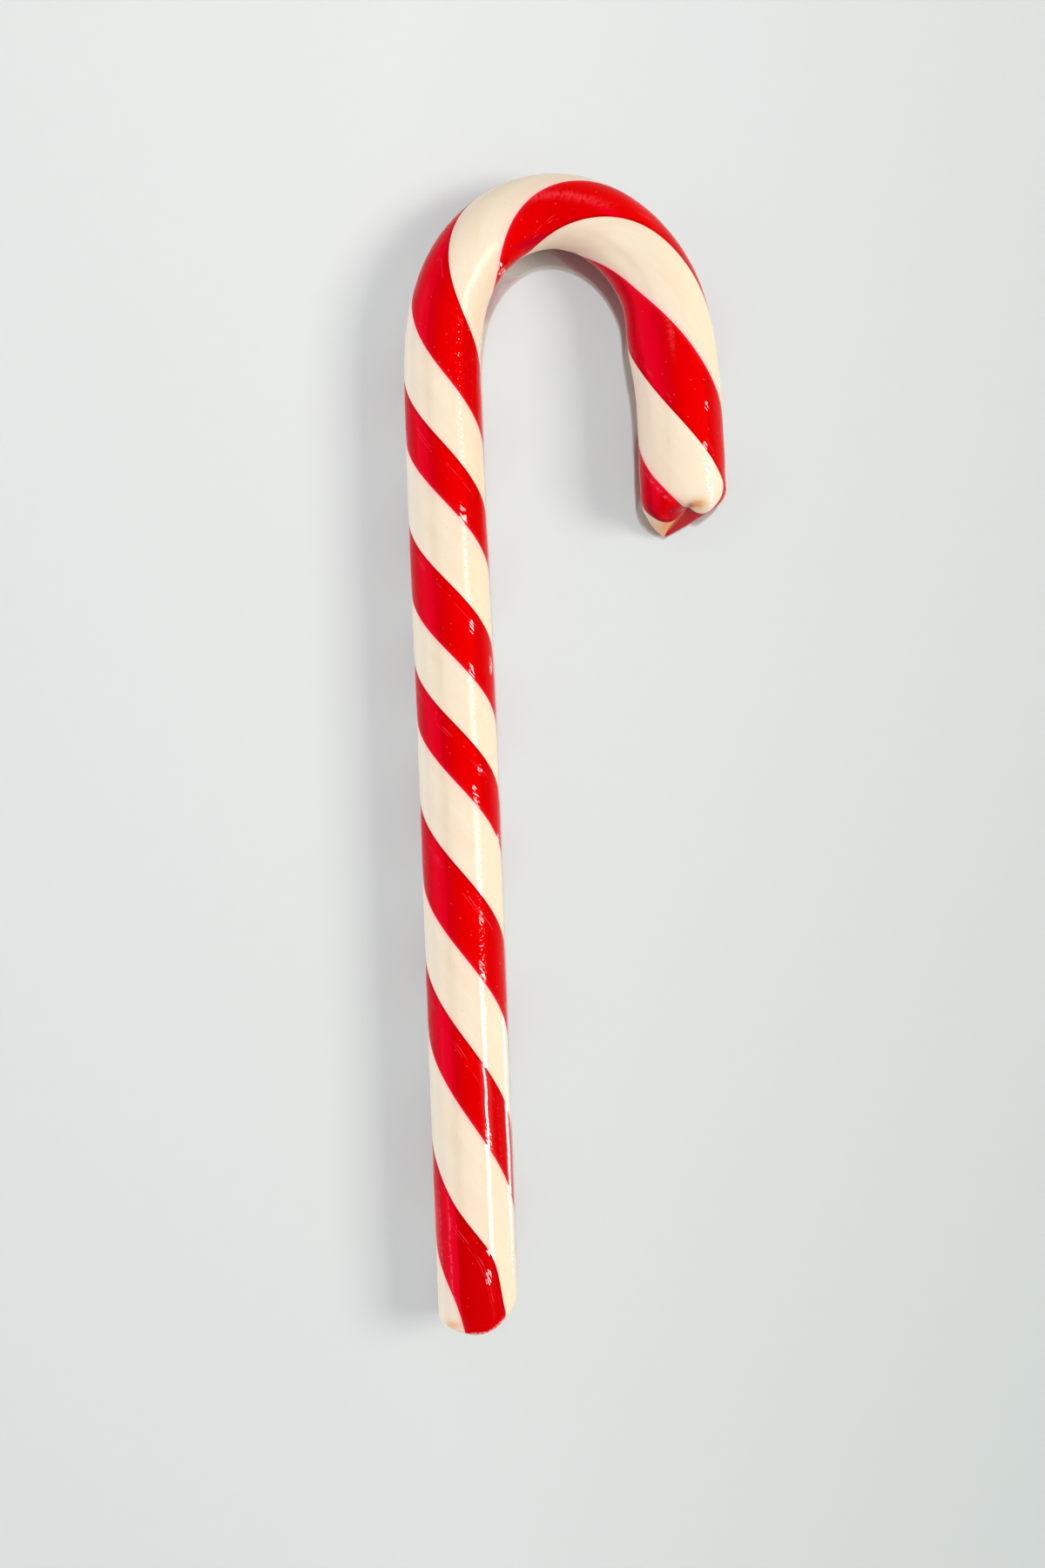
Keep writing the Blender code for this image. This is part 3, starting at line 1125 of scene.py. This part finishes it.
    def settle(self, mesh: bmesh.types.BMesh) -> None:
        """Bring the cane to its place on the floor, pressed flat underneath.

        Args:
            mesh: The closed mesh, which is moved.
        """
        for vert in mesh.verts:
            vert.co.z = max(vert.co.z, 0.0)
        low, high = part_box("candy_cane")
        corners = np.array([vert.co for vert in mesh.verts])
        middle = (corners.min(axis=0) + corners.max(axis=0)) * 0.5
        shift = (low + high) * 0.5 - Vector(middle)
        shift.z = low.z
        bmesh.ops.translate(mesh, verts=mesh.verts, vec=shift)
        fit = float(min(np.array(high - low) / np.ptp(corners, axis=0)))
        bmesh.ops.scale(mesh, verts=mesh.verts, vec=(fit, fit, fit))

    def make(self) -> bpy.types.Object:
        """Make the cane and dress it.

        Returns:
            The finished piece.
        """
        mesh = self.wrap(self.skin())
        self.settle(mesh)
        data = bpy.data.meshes.new("candy_cane_rod")
        mesh.to_mesh(data)
        mesh.free()
        for finish in (RedSugar(), CreamSugar()):
            data.materials.append(finish.material())
        piece = bpy.data.objects.new("candy_cane_rod", data)
        bpy.context.scene.collection.objects.link(piece)
        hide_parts("candy_cane")
        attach(piece, "root")
        return piece


# --- the studio -----------------------------------------------------------------------------------


class LightUse(Enum):
    """Whether a light shades, whether the gloss shows it, and the only pieces that it reaches."""

    SHADING = (True, False, ())
    CANE_SHADING = (True, False, ("candy_cane_rod",))
    CANE_GLOSS = (False, True, ("candy_cane_rod",))
    FLOOR_SHADING = (True, False, ("floor", "clear_sheet"))
    FLOOR_GLOSS = (False, True, ("floor", "clear_sheet"))


@dataclass(frozen=True)
class SoftBox:
    """A soft box: its place and size in metres, how bright it is and how wide it shines."""

    name: str
    centre: tuple[float, float, float]
    aim: tuple[float, float, float]
    length: float
    width: float
    brightness: float
    colour: tuple[float, float, float] = (1.0, 1.0, 1.0)
    use: LightUse = LightUse.CANE_GLOSS
    spread: float = 180.0

    def hang(self) -> None:
        """Hang the light, facing its aim."""
        data = bpy.data.lights.new(self.name, "AREA")
        data.shape = "RECTANGLE"
        data.size = self.length
        data.size_y = self.width
        data.energy = self.brightness * math.pi * self.length * self.width
        data.color = self.colour
        data.spread = math.radians(self.spread)
        light = bpy.data.objects.new(self.name, data)
        bpy.context.scene.collection.objects.link(light)
        light.location = self.centre
        way = Vector(self.aim) - Vector(self.centre)
        light.rotation_euler = way.to_track_quat("-Z", "Y").to_euler()
        light.visible_camera = False
        light.visible_diffuse, light.visible_glossy, reached = self.use.value
        if reached:
            lit = bpy.data.collections.new(f"{self.name}_reaches")
            for name in reached:
                lit.objects.link(bpy.data.objects[name])
            light.light_linking.receiver_collection = lit


@dataclass
class Studio:
    """The pale floor, the soft lights, the pale surround and the camera overhead."""

    surround: tuple[float, float, float] = (0.93, 0.98, 1.0)
    surround_light: float = 0.62
    floor_reach: float = 4.0
    floor_corners: int = 96
    sheet_drop: float = 0.01
    floor_drop: float = 1.45
    mirror: float = 3.0
    sheet_mirror: float = 0.09
    floor_roughness: float = 0.03
    floor_pale: Colour = tint(183, 183, 181)
    # painted shade: the floor darkens towards the right and the near side
    floor_shade: Colour = tint(123, 132, 126)
    shade_right: tuple[float, float, float] = (0.100, 0.24, 0.53)
    shade_near: tuple[float, float, float] = (-0.243, 0.477, 0.37)
    most_shade: float = 1.2
    clouding: float = 0.06
    camera_place: tuple[float, float, float] = (-8.50, -5.26, 343.35)
    camera_turn: float = -2.10
    camera_nearest: float = 0.01
    lens: float = 50.0
    film: float = 36.0
    boxes: tuple[SoftBox, ...] = (
        SoftBox("key", (0.713, -0.01, 0.682), (-0.018, -0.01, 0.0), 0.34, 0.34, 16.2,
                (1.0, 0.985, 0.95), LightUse.SHADING),
        SoftBox("low_strip", (0.725, -0.279, 0.668), (-0.018, -0.279, 0.0), 0.318, 0.12, 30.0),
        SoftBox("high_strip", (0.725, 0.04, 0.668), (-0.018, 0.04, 0.0), 0.32, 0.22, 4.9),
        SoftBox("side_panel", (-1.018, 0.0, 0.42), (-0.018, 0.0, 0.42), 1.4, 0.73, 1.6),
        SoftBox("side_fill", (-1.018, 0.0, 0.18), (-0.018, 0.0, 0.18), 1.4, 0.36, 3.2,
                (0.93, 0.97, 1.0), LightUse.CANE_SHADING),
        SoftBox("floor_key", (0.713, -0.01, 0.682), (-0.018, -0.01, 0.0), 0.34, 0.34, 18.2,
                (1.0, 0.985, 0.95), LightUse.FLOOR_SHADING),
        SoftBox("overhead", (0.0, 0.0, 1.2), (0.0, 0.0, 0.0), 1.3, 1.3, 0.9),
        SoftBox("canopy", (0.0, 0.0, 1.2), (0.0, 0.0, 0.0), 40.0, 40.0, 0.783,
                use=LightUse.FLOOR_GLOSS, spread=170.0),
    )

    def lay(self, name: str, drop: float, material: bpy.types.Material) -> None:
        """Lay a wide level disc.

        Args:
            name: Its name.
            drop: How far below the cane it lies, in mm.
            material: What it is made of.
        """
        mesh = bmesh.new()
        corners, reach = self.floor_corners, self.floor_reach
        bmesh.ops.create_circle(mesh, cap_ends=True, segments=corners, radius=reach)
        bmesh.ops.translate(mesh, verts=mesh.verts, vec=(0.0, 0.0, -drop * MM))
        data = bpy.data.meshes.new(name)
        mesh.to_mesh(data)
        mesh.free()
        data.materials.append(material)
        disc = bpy.data.objects.new(name, data)
        bpy.context.scene.collection.objects.link(disc)

    def shade_ramp(self, place: Wire, shading: tuple[float, float, float]) -> Wire:
        """Darken the floor evenly one way, as painted shade.

        Args:
            place: Metres across the floor, that way.
            shading: The metres in which it grows by 1, what it is in the middle, and its share.

        Returns:
            How much painted shade the floor gets.
        """
        reach, middle, share = shading
        return (place * (1.0 / reach) + middle).at_least(0.0).at_most(self.most_shade) * share

    def pale_floor(self) -> bpy.types.Material:
        """Make the floor's material: smooth, pale, faintly clouded, with painted shade towards one
        corner.

        Returns:
            The material.
        """
        board = Board("pale_floor")
        place = board.node("ShaderNodeTexCoord", {}, {}, "Object")
        right, away = board.split(place)
        cloud = (board.noise(place, 5.0) - 0.5) * self.clouding
        # painted shade towards one corner, with faint random clouding
        dull = self.shade_ramp(right, self.shade_right) + self.shade_ramp(away, self.shade_near) + cloud
        return board.finish(board.node("ShaderNodeBsdfPrincipled", {}, {
            "Base Color": board.mix(dull, self.floor_pale, self.floor_shade),
            "Roughness": self.floor_roughness,
            "IOR": self.mirror,
        }))

    def clear_sheet(self) -> bpy.types.Material:
        """Make a clear sheet to lie over the floor, which only mirrors a little.

        Returns:
            The material.
        """
        board = Board("clear_sheet")
        clear = board.node("ShaderNodeBsdfTransparent", {}, {})
        gloss = board.node("ShaderNodeBsdfAnisotropic", {}, {"Roughness": self.floor_roughness})
        mixed = board.node("ShaderNodeMixShader", {}, {0: self.sheet_mirror, 1: clear, 2: gloss})
        return board.finish(mixed)

    def light(self) -> None:
        """Light the surround and hang the boxes."""
        world = bpy.data.worlds.new("pale_surround")
        world.use_nodes = True
        backdrop = world.node_tree.nodes["Background"]
        backdrop.inputs["Color"].default_value = (*self.surround, 1.0)
        backdrop.inputs["Strength"].default_value = self.surround_light
        bpy.context.scene.world = world
        for box in self.boxes:
            box.hang()

    def set_camera(self) -> None:
        """Set the camera overhead, looking straight down."""
        data = bpy.data.cameras.new("overhead")
        data.lens = self.lens
        data.sensor_fit = "VERTICAL"
        data.sensor_width = self.film
        data.sensor_height = self.film
        data.clip_start = self.camera_nearest
        camera = bpy.data.objects.new("overhead", data)
        bpy.context.scene.collection.objects.link(camera)
        camera.location = Vector(self.camera_place) * MM
        camera.rotation_euler = (0.0, 0.0, math.radians(self.camera_turn))
        bpy.context.scene.camera = camera

    def make(self) -> None:
        """Set up the whole studio."""
        self.lay("floor", self.floor_drop, self.pale_floor())
        self.lay("clear_sheet", self.sheet_drop, self.clear_sheet())
        self.light()
        self.set_camera()
        bpy.context.scene.view_settings.view_transform = "Standard"


def main() -> None:
    """Make the cane and the studio, and report each piece."""
    logging.basicConfig(level=logging.INFO, format="%(name)s: %(message)s")
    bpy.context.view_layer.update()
    piece = CandyCane().make()
    log.info("%s: %d faces", piece.name, len(piece.data.polygons))
    Studio().make()
    log.info("studio is set")


if __name__ == "__main__":
    main()
